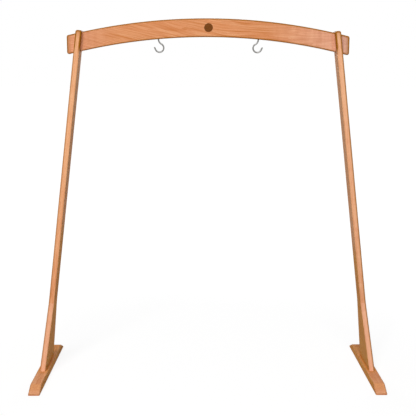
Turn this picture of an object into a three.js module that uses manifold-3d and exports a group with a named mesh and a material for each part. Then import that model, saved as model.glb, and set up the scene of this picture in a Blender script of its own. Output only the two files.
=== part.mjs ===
// A wooden gong stand. Two posts lean towards each other on long feet, and an arched crossbeam
// lies in the forks at their tops. Two swan-neck screw hooks under the crossbeam carry the gong.
//
// Lengths are in millimetres. +X is to the right, +Y to the back and +Z up. The origin is on the
// floor, in the middle of the stand.

import * as THREE from 'three';
import Module from 'manifold-3d';
import { mergeVertices } from 'three/addons/utils/BufferGeometryUtils.js';

// Whole stand
const crownHeight = 1652;
const footHalfSpread = 775;
const leanDegrees = 7.3;

// Fits and cuts
const seatGap = 0.3;
const slipGap = 0.5;
const overrun = 20;

// Crossbeam, a sawn arch
const beamHeight = 81;
const beamThickness = 26;
const crownRadius = 2650;
const endOverhang = 47.5;
const beamCornerRadius = 8;
const beamEdgeRound = 4;
const notchDepth = 16;

// Posts, with a fork at the top and a flare at the base
const postThickness = 26;
const postDepth = 80;
const postBaseDepth = 214;
const flareHeight = 312;
const postEdgeRound = 4;
const prongRise = 9.5;
const prongSideRadius = 8;
const prongOuterRadius = 10;
const prongInnerRadius = 5;

// Feet, with both ends bevelled down to a thin toe
const footLength = 610;
const footWidth = 51;
const footThickness = 32;
const footBevelLength = 56;
const footToeHeight = 4;
const footEdgeRound = 4;

// Dowels between foot and post
const dowelDiameter = 10;
const dowelChamfer = 1.5;
const dowelInFoot = 20;
const dowelInPost = 30;
const dowelHalfSpacing = 26;

// Wood screws, driven up through the foot
const screwShankDiameter = 6;
const screwHeadDiameter = 12;
const screwHeadHeight = 3.5;
const screwHeadRound = 1;
const screwInPost = 56;
const screwTipLength = 8;
const screwHeadRecess = 10;
const screwHalfSpacing = 64;

// Swan-neck screw hooks
const hookHalfSpacing = 223.5;
const wireDiameter = 6.8;
const bowlRadius = 19;
const bowlDrop = 38.5;
const bowlOffset = 3.9;
const neckRadius = 23.3;
const bowlEndDegrees = 205;
const hookTipLength = 9.8;
const hookScrewLength = 46;
const hookPointLength = 9;

// Round inlay in the front of the crossbeam
const inlayDiameter = 38;
const inlayDepth = 5;

// Facet counts
const archSteps = 48;
const cornerSteps = 5;
const roundOverSteps = 3;
const turnedSides = 24;
const inlaySides = 48;
const wireSides = 12;
const hookSteps = 64;

const lean = THREE.MathUtils.degToRad(leanDegrees);
const sides = [{ name: 'left', sign: -1 }, { name: 'right', sign: 1 }];
const ends = [{ name: 'front', sign: -1 }, { name: 'back', sign: 1 }];

const wasm = await Module();
wasm.setup();

// Solids: a closed geometry becomes one that can be cut and joined, and comes back as a geometry.

function solidOf(geometry) {
  const bare = geometry.clone();
  bare.deleteAttribute('normal');
  bare.deleteAttribute('uv');
  const merged = mergeVertices(bare);
  const vertProperties = new Float32Array(merged.attributes.position.array);
  const triVerts = new Uint32Array(merged.index.array);
  return new wasm.Manifold(new wasm.Mesh({ numProp: 3, vertProperties, triVerts }));
}

function geometryOf(solid) {
  const mesh = solid.getMesh();
  const geometry = new THREE.BufferGeometry();
  geometry.setAttribute('position', new THREE.BufferAttribute(mesh.vertProperties, 3));
  geometry.setIndex(new THREE.BufferAttribute(mesh.triVerts, 1));
  const faceted = geometry.toNonIndexed();
  faceted.computeVertexNormals();
  return faceted;
}

function cut(body, cutters) {
  let solid = solidOf(body);
  for (const cutter of cutters) {
    solid = solid.subtract(solidOf(cutter));
  }
  return geometryOf(solid);
}

function common(body, other) {
  return geometryOf(solidOf(body).intersect(solidOf(other)));
}

function joined(body, other) {
  return geometryOf(solidOf(body).add(solidOf(other)));
}

// Outlines

function arcPoints(centre, radius, from, to, steps) {
  const points = [];
  for (let i = 0; i <= steps; i += 1) {
    const angle = THREE.MathUtils.lerp(from, to, i / steps);
    const x = centre.x + radius * Math.cos(angle);
    const y = centre.y + radius * Math.sin(angle);
    points.push(new THREE.Vector2(x, y));
  }
  return points;
}

// Replaces each corner that has a radius by an arc that touches both of its edges.
function roundedOutline(corners) {
  const points = [];
  corners.forEach(({ at, radius = 0 }, i) => {
    if (radius === 0) {
      points.push(at);
      return;
    }
    const before = corners[(i + corners.length - 1) % corners.length].at;
    const after = corners[(i + 1) % corners.length].at;
    const towardsBefore = before.clone().sub(at).normalize();
    const towardsAfter = after.clone().sub(at).normalize();
    const halfAngle = Math.acos(towardsBefore.dot(towardsAfter)) / 2;
    const bisector = towardsBefore.clone().add(towardsAfter).normalize();
    const centre = at.clone().addScaledVector(bisector, radius / Math.sin(halfAngle));
    const sweep = Math.PI - 2 * halfAngle;
    const turn = Math.sign(towardsBefore.cross(towardsAfter));
    const middle = Math.atan2(-bisector.y, -bisector.x);
    const from = middle + (turn * sweep) / 2;
    const to = middle - (turn * sweep) / 2;
    points.push(...arcPoints(centre, radius, from, to, cornerSteps));
  });
  return points;
}

function corner(x, y, radius) {
  return { at: new THREE.Vector2(x, y), radius };
}

// Boards: an outline extruded about its middle plane, with its edges rounded over.

function extruded(outline, thickness, edgeRound) {
  const geometry = new THREE.ExtrudeGeometry(new THREE.Shape(outline), {
    depth: thickness - 2 * edgeRound,
    bevelEnabled: edgeRound > 0,
    bevelThickness: edgeRound,
    bevelSize: edgeRound,
    bevelOffset: -edgeRound,
    bevelSegments: roundOverSteps,
  });
  geometry.translate(0, 0, edgeRound - thickness / 2);
  return geometry;
}

// The outline's x and y run along X and Z, and the board's thickness along Y.
function boardFacingFront(outline, thickness, edgeRound = 0) {
  return extruded(outline, thickness, edgeRound).rotateX(Math.PI / 2);
}

// The outline's x and y run along Y and Z, and the board's thickness along X.
function boardFacingSide(outline, thickness, edgeRound = 0) {
  const turn = new THREE.Matrix4().makeBasis(
    new THREE.Vector3(0, 1, 0),
    new THREE.Vector3(0, 0, 1),
    new THREE.Vector3(1, 0, 0),
  );
  return extruded(outline, thickness, edgeRound).applyMatrix4(turn);
}

function block(width, depth, low, high) {
  const geometry = new THREE.BoxGeometry(width, depth, high - low);
  return geometry.translate(0, 0, (low + high) / 2);
}

// A profile of [radius, height] pairs from the bottom to the top, revolved about Z.
function turned(profile, segments = turnedSides) {
  const points = profile.map(([radius, height]) => new THREE.Vector2(radius, height));
  return new THREE.LatheGeometry(points, segments).rotateX(Math.PI / 2);
}

function cylinder(diameter, low, high, segments = turnedSides) {
  const radius = diameter / 2;
  return turned([[0, low], [radius, low], [radius, high], [0, high]], segments);
}

// Layout: where the arch meets the leaning centre line of a post. Distances along the post start
// at the top of its foot.

const undersideRadius = crownRadius - beamHeight;
const archCentreHeight = crownHeight - crownRadius;

function alongPostToArc(radius) {
  const rise = footThickness - archCentreHeight;
  const half = rise * Math.cos(lean) - footHalfSpread * Math.sin(lean);
  const rest = footHalfSpread ** 2 + rise ** 2 - radius ** 2;
  return Math.sqrt(half ** 2 - rest) - half;
}

const alongToSeat = alongPostToArc(undersideRadius + notchDepth);
const alongToTip = alongPostToArc(crownRadius) + prongRise;
const seatHalfSpread = footHalfSpread - alongToSeat * Math.sin(lean);
const beamHalfLength = seatHalfSpread + endOverhang;

// The height of an arc of the crossbeam above the arch's centre, at a place along X.
function arcHeight(radius, x) {
  return Math.sqrt(radius ** 2 - x ** 2);
}

// A point of a leaning post in the stand's X and Z, from its own across and along.
function onPost(sign, across, along) {
  const x = sign * footHalfSpread + across * Math.cos(lean) - sign * along * Math.sin(lean);
  const z = footThickness + sign * across * Math.sin(lean) + along * Math.cos(lean);
  return new THREE.Vector2(x, z);
}

// Crossbeam

// Both ends are plumb, and each corner is an arc that touches the end and the arch.
function archOutline() {
  const centre = new THREE.Vector2(0, archCentreHeight);
  const radius = beamCornerRadius;
  const inset = beamHalfLength - radius;
  const upper = archCentreHeight + arcHeight(crownRadius - radius, inset);
  const lower = archCentreHeight + arcHeight(undersideRadius + radius, inset);
  const upperAngle = Math.acos(inset / (crownRadius - radius));
  const lowerAngle = Math.acos(inset / (undersideRadius + radius));
  const halfTurn = Math.PI;
  const fullTurn = 2 * Math.PI;
  const cornerArc = (x, z, from, to) => (
    arcPoints(new THREE.Vector2(x, z), radius, from, to, cornerSteps)
  );
  return [
    ...arcPoints(centre, crownRadius, upperAngle, halfTurn - upperAngle, archSteps),
    ...cornerArc(-inset, upper, halfTurn - upperAngle, halfTurn).slice(1),
    ...cornerArc(-inset, lower, halfTurn, fullTurn - lowerAngle),
    ...arcPoints(centre, undersideRadius, halfTurn - lowerAngle, lowerAngle, archSteps).slice(1),
    ...cornerArc(inset, lower, halfTurn + lowerAngle, fullTurn).slice(1),
    ...cornerArc(inset, upper, 0, upperAngle).slice(0, -1),
  ];
}

// The notch that straddles a post under its seat. Its outer wall leans with the post, and its
// inner wall is plumb, so that the crossbeam lifts straight up off both posts.
function notchCutter(sign) {
  const halfWidth = postThickness / 2 + slipGap;
  const ceiling = alongToSeat + seatGap;
  const below = ceiling - notchDepth - overrun;
  const innerTop = onPost(sign, -sign * halfWidth, ceiling);
  const outerTop = onPost(sign, sign * halfWidth, ceiling);
  const outerBottom = onPost(sign, sign * halfWidth, below);
  const innerBottom = new THREE.Vector2(innerTop.x, outerBottom.y);
  const outline = [innerTop, outerTop, outerBottom, innerBottom];
  return boardFacingFront(outline, beamThickness + overrun);
}

function hookPlace(sign) {
  const height = archCentreHeight + arcHeight(undersideRadius, hookHalfSpacing);
  return new THREE.Vector3(sign * hookHalfSpacing, 0, height);
}

function crossbeam() {
  const blank = boardFacingFront(archOutline(), beamThickness, beamEdgeRound);
  const notches = sides.map(({ sign }) => notchCutter(sign));
  const hookHoles = sides.map(({ sign }) => {
    const place = hookPlace(sign);
    const hole = cylinder(wireDiameter + 2 * seatGap, -overrun, hookScrewLength + seatGap);
    return hole.translate(place.x, place.y, place.z);
  });
  const recess = cylinder(inlayDiameter + 2 * seatGap, -inlayDepth - seatGap, overrun, inlaySides);
  return cut(blank, [...notches, ...hookHoles, recess.applyMatrix4(inlayPlacement())]);
}

// Inlay: a disc whose face is flush with the front of the crossbeam

function inlayPlacement() {
  const middle = crownHeight - beamHeight / 2;
  const turn = new THREE.Matrix4().makeRotationX(Math.PI / 2);
  return turn.premultiply(new THREE.Matrix4().makeTranslation(0, -beamThickness / 2, middle));
}

function inlay() {
  return cylinder(inlayDiameter, -inlayDepth, 0, inlaySides);
}

// Post, with its length along Z from the top of the foot and its faces towards -X and +X

function postSideOutline() {
  const flareLength = flareHeight / Math.cos(lean);
  const slope = (postBaseDepth - postDepth) / 2 / flareLength;
  const half = postDepth / 2;
  const halfBelow = postBaseDepth / 2 + slope * overrun;
  return roundedOutline([
    corner(-halfBelow, -overrun),
    corner(halfBelow, -overrun),
    corner(half, flareLength),
    corner(half, alongToTip, prongSideRadius),
    corner(-half, alongToTip, prongSideRadius),
    corner(-half, flareLength),
  ]);
}

// Seen from the front the tip is rounded more on its outer corner than on its inner one.
function postFrontOutline(sign) {
  const half = postThickness / 2;
  return roundedOutline([
    corner(-half, -overrun),
    corner(half, -overrun),
    corner(half, alongToTip, sign > 0 ? prongOuterRadius : prongInnerRadius),
    corner(-half, alongToTip, sign > 0 ? prongInnerRadius : prongOuterRadius),
  ]);
}

function forkCutter() {
  const slotDepth = beamThickness + 2 * slipGap;
  return block(postThickness + overrun, slotDepth, alongToSeat, alongToTip + overrun);
}

// What lies under the level top of the foot, seen from a leaning post
function belowFootTop(sign) {
  const wide = postBaseDepth + 2 * overrun;
  return block(wide, wide, -wide, seatGap).rotateY(sign * lean);
}

function post(sign) {
  const board = boardFacingSide(postSideOutline(), postThickness, postEdgeRound);
  const front = boardFacingFront(postFrontOutline(sign), postBaseDepth + 2 * overrun);
  const holes = ends.flatMap((end) => [
    dowelHole().translate(0, end.sign * dowelHalfSpacing, 0),
    screwHole().translate(0, end.sign * screwHalfSpacing, 0),
  ]);
  return cut(common(board, front), [forkCutter(), belowFootTop(sign), ...holes]);
}

// Dowels and screws, with their length along that of the post

function dowel() {
  const radius = dowelDiameter / 2;
  return turned([
    [0, -dowelInFoot], [radius - dowelChamfer, -dowelInFoot],
    [radius, dowelChamfer - dowelInFoot], [radius, dowelInPost - dowelChamfer],
    [radius - dowelChamfer, dowelInPost], [0, dowelInPost],
  ]);
}

function dowelHole() {
  return cylinder(dowelDiameter + 2 * seatGap, -dowelInFoot - seatGap, dowelInPost + seatGap);
}

// The underside of the screw's head rests this far below the top of the foot.
const screwGrip = footThickness - screwHeadRecess;

function screw() {
  const shank = screwShankDiameter / 2;
  const head = screwHeadDiameter / 2;
  const low = -screwGrip - seatGap - screwHeadHeight;
  return turned([
    [0, low], [head - screwHeadRound, low], [head, low + screwHeadRound],
    [head, -screwGrip - seatGap], [shank, -screwGrip - seatGap],
    [shank, screwInPost - screwTipLength], [0, screwInPost],
  ]);
}

function screwHole() {
  return cylinder(screwShankDiameter + 2 * seatGap, -footThickness - overrun, screwInPost + seatGap);
}

function screwHeadHole() {
  return cylinder(screwHeadDiameter + 2 * slipGap, -footThickness - overrun, -screwGrip);
}

// Foot, standing on the floor with its length along Y

function footOutline() {
  const half = footLength / 2;
  const flat = half - footBevelLength;
  return [
    new THREE.Vector2(-half, -overrun),
    new THREE.Vector2(half, -overrun),
    new THREE.Vector2(half, footToeHeight),
    new THREE.Vector2(flat, footThickness),
    new THREE.Vector2(-flat, footThickness),
    new THREE.Vector2(-half, footToeHeight),
  ];
}

function foot(sign) {
  const board = boardFacingSide(footOutline(), footWidth, footEdgeRound);
  const floor = block(footWidth + overrun, footLength + overrun, -2 * overrun, 0);
  const holes = ends.flatMap((end) => [
    dowelHole().translate(0, end.sign * dowelHalfSpacing, 0),
    screwHole().translate(0, end.sign * screwHalfSpacing, 0),
    screwHeadHole().translate(0, end.sign * screwHalfSpacing, 0),
  ]);
  const leaning = holes.map((hole) => hole.rotateY(-sign * lean).translate(0, 0, footThickness));
  return cut(board, [floor, ...leaning]);
}

// Swan-neck hook: a round wire that runs down from its screw, bends inwards through the neck and
// then back round a bowl under the screw to a tip that flares outwards. Its origin is where it
// leaves the crossbeam.

class FlatArc extends THREE.Curve {
  constructor(centre, radius, from, to) {
    super();
    Object.assign(this, { centre, radius, from, to });
  }

  getPoint(t, target = new THREE.Vector3()) {
    const angle = THREE.MathUtils.lerp(this.from, this.to, t);
    const x = this.centre.x + this.radius * Math.cos(angle);
    const z = this.centre.y + this.radius * Math.sin(angle);
    return target.set(x, 0, z);
  }
}

// The centre line of the hook that opens towards -X, from the top of its screw to its tip
function hookPath() {
  const meeting = Math.acos((neckRadius - bowlOffset) / (neckRadius + bowlRadius));
  const neckStart = (neckRadius + bowlRadius) * Math.sin(meeting) - bowlDrop;
  const neckCentre = new THREE.Vector2(neckRadius, neckStart);
  const bowlCentre = new THREE.Vector2(bowlOffset, -bowlDrop);
  const bowlEnd = THREE.MathUtils.degToRad(bowlEndDegrees) - 2 * Math.PI;
  const neck = new FlatArc(neckCentre, neckRadius, Math.PI, Math.PI + meeting);
  const bowl = new FlatArc(bowlCentre, bowlRadius, meeting, bowlEnd);
  const bowlTip = bowl.getPoint(1);
  const outwards = new THREE.Vector3(Math.sin(bowlEnd), 0, -Math.cos(bowlEnd));
  const tip = bowlTip.clone().addScaledVector(outwards, hookTipLength);
  const path = new THREE.CurvePath();
  const screwEnd = new THREE.Vector3(0, 0, hookScrewLength - hookPointLength);
  path.add(new THREE.LineCurve3(screwEnd, neck.getPoint(0)));
  path.add(neck);
  path.add(bowl);
  path.add(new THREE.LineCurve3(bowlTip, tip));
  return path;
}

function hook(sign) {
  const radius = wireDiameter / 2;
  const path = hookPath();
  const section = arcPoints(new THREE.Vector2(0, 0), radius, 0, 2 * Math.PI, wireSides).slice(0, -1);
  const wire = new THREE.ExtrudeGeometry(new THREE.Shape(section), {
    steps: hookSteps,
    extrudePath: path,
    bevelEnabled: false,
  });
  const base = hookScrewLength - hookPointLength - seatGap;
  const point = turned([[0, base], [radius, base], [radius, base + seatGap], [0, hookScrewLength]]);
  const tip = path.getPoint(1);
  const roundTip = new THREE.SphereGeometry(radius, wireSides, wireSides / 2);
  const whole = joined(joined(wire, point), roundTip.translate(tip.x, tip.y, tip.z));
  return sign < 0 ? whole : whole.rotateZ(Math.PI);
}

// Materials

const oiledBeech = new THREE.MeshStandardMaterial({ color: 0xd9986a, roughness: 0.55, metalness: 0 });
const walnut = new THREE.MeshStandardMaterial({ color: 0x4a2c16, roughness: 0.5, metalness: 0 });
const plainBeech = new THREE.MeshStandardMaterial({ color: 0xdfb98c, roughness: 0.7, metalness: 0 });
const zincSteel = new THREE.MeshStandardMaterial({ color: 0xa8a8a4, roughness: 0.35, metalness: 1 });

function part(name, geometry, material) {
  const mesh = new THREE.Mesh(geometry, material);
  mesh.name = name;
  return mesh;
}

// Assembly

function endFrame({ name, sign }) {
  const frame = new THREE.Group();
  frame.position.set(sign * footHalfSpread, 0, 0);
  frame.add(part(`foot_${name}`, foot(sign), oiledBeech));
  const leaning = new THREE.Group();
  leaning.position.set(0, 0, footThickness);
  leaning.rotation.y = -sign * lean;
  leaning.add(part(`post_${name}`, post(sign), oiledBeech));
  for (const end of ends) {
    const peg = part(`dowel_${name}_${end.name}`, dowel(), plainBeech);
    peg.position.y = end.sign * dowelHalfSpacing;
    const fixing = part(`screw_${name}_${end.name}`, screw(), zincSteel);
    fixing.position.y = end.sign * screwHalfSpacing;
    leaning.add(peg, fixing);
  }
  frame.add(leaning);
  return frame;
}

function beamAssembly() {
  const assembly = new THREE.Group();
  assembly.add(part('crossbeam', crossbeam(), oiledBeech));
  const disc = part('centre_inlay', inlay(), walnut);
  disc.applyMatrix4(inlayPlacement());
  assembly.add(disc);
  for (const { name, sign } of sides) {
    const swanNeck = part(`hook_${name}`, hook(sign), zincSteel);
    swanNeck.position.copy(hookPlace(sign));
    assembly.add(swanNeck);
  }
  return assembly;
}

const stand = new THREE.Group();
stand.add(...sides.map(endFrame), beamAssembly());

export default stand;
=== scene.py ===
"""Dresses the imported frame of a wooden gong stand.

Five oiled beech boards, a walnut inlay, two swan-neck screw hooks, four dowels and four wood screws
are worked out as surfaces in metres, in the frame's own place. +X is to the right, +Y to the back
and +Z up.
"""

import math
from functools import partial
from types import SimpleNamespace

import bpy
import numpy as np
from bpy.props import FloatProperty, FloatVectorProperty, IntProperty, PointerProperty
from bpy.types import Operator, Panel, PropertyGroup
from mathutils import Matrix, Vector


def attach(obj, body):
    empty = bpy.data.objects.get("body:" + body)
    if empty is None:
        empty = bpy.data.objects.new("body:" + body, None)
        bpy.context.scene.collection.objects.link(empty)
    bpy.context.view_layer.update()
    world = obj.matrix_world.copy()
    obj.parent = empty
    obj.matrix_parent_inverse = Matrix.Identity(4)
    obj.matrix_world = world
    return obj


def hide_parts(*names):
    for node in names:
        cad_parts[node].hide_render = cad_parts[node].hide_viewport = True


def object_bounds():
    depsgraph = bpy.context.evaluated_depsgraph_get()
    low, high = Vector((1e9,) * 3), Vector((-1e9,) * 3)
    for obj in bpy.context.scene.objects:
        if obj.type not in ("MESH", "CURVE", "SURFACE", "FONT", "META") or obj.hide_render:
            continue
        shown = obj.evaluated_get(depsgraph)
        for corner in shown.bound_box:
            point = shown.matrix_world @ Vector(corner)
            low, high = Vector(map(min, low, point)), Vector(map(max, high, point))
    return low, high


bl_info = {
    "name": "Gong stand",
    "version": (1, 0, 0),
    "blender": (4, 5, 0),
    "location": "3D View > Sidebar > Gong stand",
    "description": "Makes the boards, hooks and fixings of a wooden gong stand",
    "category": "Add Mesh",
}

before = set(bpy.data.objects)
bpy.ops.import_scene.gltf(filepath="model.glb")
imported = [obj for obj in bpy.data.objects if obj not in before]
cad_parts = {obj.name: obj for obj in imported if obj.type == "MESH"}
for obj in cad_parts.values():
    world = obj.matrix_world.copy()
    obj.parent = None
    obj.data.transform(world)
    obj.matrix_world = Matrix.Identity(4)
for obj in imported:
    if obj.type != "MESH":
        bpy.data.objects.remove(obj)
cad_low, cad_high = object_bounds()

MM = 0.001
QUARTER_TURN = math.pi / 2
SIDES = {"left": -1, "right": 1}
# Where dowels and screws join a foot to its post: the place's name, its side and its end.
JOINTS = [
    (f"{side}_{end}", sign, way)
    for side, sign in SIDES.items()
    for end, way in (("front", -1), ("back", 1))
]
# Flat sides that stand for a round bore or wire, and for a disc, and rings for a turn of thread.
SMALL_ROUND_SIDES, LARGE_ROUND_SIDES, THREAD_RINGS = 32, 96, 8


# Colours and kinds of setting


def colour(hex_text):
    """The linear colour of an sRGB hex value, by the standard's straight part and its power."""
    value = np.array([int(hex_text[i : i + 2], 16) for i in (1, 3, 5)]) / 255
    linear = np.where(value <= 0.04045, value / 12.92, ((value + 0.055) / 1.055) ** 2.4)
    return (*linear.tolist(), 1.0)


def length(name, description, millimetres):
    """A length that a user can change, given in millimetres and kept in metres."""
    return FloatProperty(
        name=name, description=description, default=millimetres * MM, unit="LENGTH", precision=5
    )


def turn(name, description, degrees):
    """An angle that a user can change, given in degrees and kept in radians."""
    return FloatProperty(
        name=name, description=description, default=math.radians(degrees), subtype="ANGLE"
    )


def share(name, description, value):
    """A share or a strength that a user can change."""
    return FloatProperty(name=name, description=description, default=value, min=0.0)


def paint(name, description, hex_text):
    """A colour that a user can change."""
    return FloatVectorProperty(
        name=name, description=description, default=colour(hex_text), size=4, subtype="COLOR"
    )


def point(name, description, place):
    """A place that a user can change, in metres."""
    return FloatVectorProperty(
        name=name, description=description, default=place, size=3, subtype="TRANSLATION"
    )


class BeamSizes(PropertyGroup):
    crown_height: length("Crown height", "Floor to the top of the arch", 1652)
    crown_radius: length("Crown radius", "Radius of the arch along its top", 2650)
    height: length("Height", "Height of the arch, measured along its radius", 81)
    thickness: length("Thickness", "Thickness of the board", 26)
    end_overhang: length("Overhang", "From the middle of the seat to the end", 47.5)
    corner_radius: length("Corner radius", "Radius of the corners, seen from the front", 8)
    edge_round: length("Edge round", "Radius of the rounded edges", 4)
    notch_depth: length("Notch depth", "Depth of the notches over the posts", 16)


class PostSizes(PropertyGroup):
    foot_half_spread: length("Half spread", "From the middle of the stand to a post's foot", 775)
    lean: turn("Lean", "How far a post leans inwards", 7.3)
    thickness: length("Thickness", "Thickness of the board", 26)
    depth: length("Depth", "Width of the board above the flare, front to back", 80)
    base_depth: length("Base depth", "Width of the flare at the foot, front to back", 214)
    flare_height: length("Flare height", "Height of the flare above the foot", 312)
    edge_round: length("Edge round", "Radius of the rounded edges", 4)
    prong_rise: length("Prong rise", "How far the fork stands above the arch", 9.5)
    side_radius: length("Side radius", "Radius of the fork's tips, seen from the side", 8)
    outer_radius: length("Outer radius", "Radius of the tips' outer corners, from the front", 10)
    inner_radius: length("Inner radius", "Radius of the tips' inner corners, from the front", 5)


class FootSizes(PropertyGroup):
    length: length("Length", "Length of the board, front to back", 610)
    width: length("Width", "Width of the board", 51)
    thickness: length("Thickness", "Thickness of the board", 32)
    bevel_length: length("Bevel length", "Length of the bevel at each end", 56)
    toe_height: length("Toe height", "Height that the bevel leaves at the end", 4)
    edge_round: length("Edge round", "Radius of the rounded edges", 4)
    sole_round: length("Sole round", "Radius of the edges on the floor", 0.6)


class FixingSizes(PropertyGroup):
    seat_gap: length("Seat gap", "Gap between pieces that rest on each other", 0.3)
    slip_gap: length("Slip gap", "Gap on each side of a sliding fit", 0.5)
    dowel_diameter: length("Dowel diameter", "Diameter of the dowels", 10)
    dowel_chamfer: length("Dowel chamfer", "Chamfer on the ends of the dowels", 1.5)
    dowel_in_foot: length("Dowel in foot", "Depth of the dowels in the foot", 20)
    dowel_in_post: length("Dowel in post", "Depth of the dowels in the post", 30)
    dowel_half_spacing: length("Dowel spacing", "From the middle of the post to a dowel", 26)
    flute_depth: length("Flute depth", "Depth of the glue flutes in the dowels", 0.35)
    flutes: IntProperty(name="Flutes", description="Glue flutes round a dowel", default=18, min=3)
    screw_diameter: length("Screw diameter", "Diameter of the screws over their thread", 6)
    screw_core: length("Screw core", "Diameter of the screws under their thread", 4.1)
    thread_pitch: length("Thread pitch", "Distance from one turn of the thread to the next", 2.6)
    head_diameter: length("Head diameter", "Diameter of the screws' heads", 12)
    head_height: length("Head height", "Height of the screws' heads", 3.5)
    head_round: length("Head round", "Radius of the heads' edges", 1)
    head_recess: length("Head recess", "From the foot's top to the underside of the heads", 22)
    socket_diameter: length("Socket diameter", "Diameter of the six-lobed socket", 5)
    socket_depth: length("Socket depth", "Depth of the six-lobed socket", 2.4)
    screw_in_post: length("Screw in post", "Depth of the screws in the post", 56)
    screw_tip: length("Screw tip", "Length of the screws' points", 8)
    screw_half_spacing: length("Screw spacing", "From the middle of the post to a screw", 64)


class HookSizes(PropertyGroup):
    half_spacing: length("Half spacing", "From the middle of the stand to a hook's screw", 223.5)
    wire_diameter: length("Wire diameter", "Diameter of the wire", 6.8)
    core_diameter: length("Core diameter", "Diameter under the thread", 4.8)
    thread_pitch: length("Thread pitch", "Distance from one turn of the thread to the next", 2.8)
    bowl_radius: length("Bowl radius", "Radius of the bowl's centre line", 19)
    bowl_drop: length("Bowl drop", "From the crossbeam down to the centre of the bowl", 38.5)
    bowl_offset: length("Bowl offset", "From the screw's line to the centre of the bowl", 3.9)
    neck_radius: length("Neck radius", "Radius of the neck's centre line", 23.3)
    bowl_end: turn("Bowl end", "Where the bowl ends, counted from the neck's side", 205)
    tip_length: length("Tip length", "Length of the straight tip", 9.8)
    screw_length: length("Screw length", "Length of the screw in the crossbeam", 46)
    point_length: length("Point length", "Length of the screw's point", 9)


class InlaySizes(PropertyGroup):
    diameter: length("Diameter", "Diameter of the inlay", 38)
    depth: length("Depth", "Thickness of the inlay", 5)
    chamfer: length("Chamfer", "Chamfer round the inlay's face", 0.3)


class WoodLook(PropertyGroup):
    pale: paint("Pale wood", "Early wood of the oiled beech", "#EFB88B")
    middle: paint("Middle wood", "Main tone of the oiled beech", "#DF9B6D")
    deep: paint("Deep wood", "Late wood of the oiled beech", "#C47638")
    # The arris colour is painted shade on the rounded edges.
    arris: paint("Arris", "Oil that has darkened on the rounded edges", "#9A5F00")
    slant: paint("Slanting cut", "Where a cut slants across the fibres", "#F0B596")
    fleck: paint("Fleck", "Ray flecks of the beech", "#B5713F")
    # The golden tint is painted shade: it tints the boards' shaded sides, for the shade and the
    # light bounced off the wood there.
    golden: paint("Golden tint", "What the heartwood tint takes out of the light", "#F3E78E")
    pink: paint("Pink wood", "Where a board is pinker", "#EDC3B6")
    bare: paint("Bare beech", "Beech without oil, for the dowels", "#DDB98C")
    walnut: paint("Walnut", "Main tone of the inlay", "#86490F")
    walnut_dark: paint("Dark walnut", "Dark streaks of the inlay", "#57300A")
    ring_width: length("Ring width", "Width of a year's growth, as it is drawn", 6.5)
    fleck_share: share("Fleck share", "How much of the fleck colour shows", 0.35)


class MetalLook(PropertyGroup):
    wire: paint("Wire", "Zinc on the hooks", "#8A8986")
    screw: paint("Screw", "Zinc on the screws", "#B4B3A8")


class StageLook(PropertyGroup):
    key_power: share("Key lamp", "Power of the large lamp in front, in watts", 1480.0)
    key_size: length("Key lamp size", "Side of the large lamp in front", 6000)
    key_place: point("Key lamp place", "Where the lamp in front hangs", (-2.0, -10.3, 8.2))
    back_power: share("Back lamp", "Power of the large lamp behind, in watts", 300.0)
    back_size: length("Back lamp size", "Side of the large lamp behind", 4000)
    back_place: point("Back lamp place", "Where the lamp behind hangs", (0.0, 8.0, 3.4))
    surround: share("Surround", "Strength of the light from all round", 0.165)
    floor: paint("Floor", "Colour of the floor, where it lights the stand", "#BDB9B2")
    floor_white: share("Floor white", "How much of the floor is seen as plain white", 0.8)
    camera_place: point("Camera", "Where the camera stands", (-0.0452, -3.4834, 1.4248))
    camera_pitch: turn("Camera pitch", "How far the camera looks down", 10.279)
    camera_yaw: turn("Camera yaw", "How far the camera looks to the left", -0.751)
    camera_roll: turn("Camera roll", "How far the camera is turned about its view", 0.186)
    lens: share("Lens", "Focal length in mm on a 36 mm sensor", 65.73)


class GongStand(PropertyGroup):
    beam: PointerProperty(type=BeamSizes)
    post: PointerProperty(type=PostSizes)
    foot: PointerProperty(type=FootSizes)
    fixing: PointerProperty(type=FixingSizes)
    hook: PointerProperty(type=HookSizes)
    inlay: PointerProperty(type=InlaySizes)
    wood: PointerProperty(type=WoodLook)
    metal: PointerProperty(type=MetalLook)
    stage: PointerProperty(type=StageLook)


# Surfaces


def ramp(values, zero, one):
    """0 up to one value and 1 from the other on, and straight in between. Either may be lower."""
    return np.clip((values - zero) / (one - zero), 0, 1)


def piece_from_rings(name, rings):
    """A closed piece from a grid of points whose rows are rings: four-sided faces join each ring to
    the next, and a flat face closes the first and the last."""
    rows, columns = rings.shape[:2]
    here = np.arange(rows * columns).reshape(rows, columns)
    beside = np.roll(here, -1, axis=1)
    quads = np.stack([here[:-1], beside[:-1], beside[1:], here[1:]], axis=-1)
    faces = quads.reshape(-1, 4).tolist() + [here[0, ::-1].tolist(), here[-1].tolist()]
    mesh = bpy.data.meshes.new(name)
    mesh.from_pydata(rings.reshape(-1, 3).tolist(), [], faces)
    piece = bpy.data.objects.new(name, mesh)
    bpy.context.scene.collection.objects.link(piece)
    return piece


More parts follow.
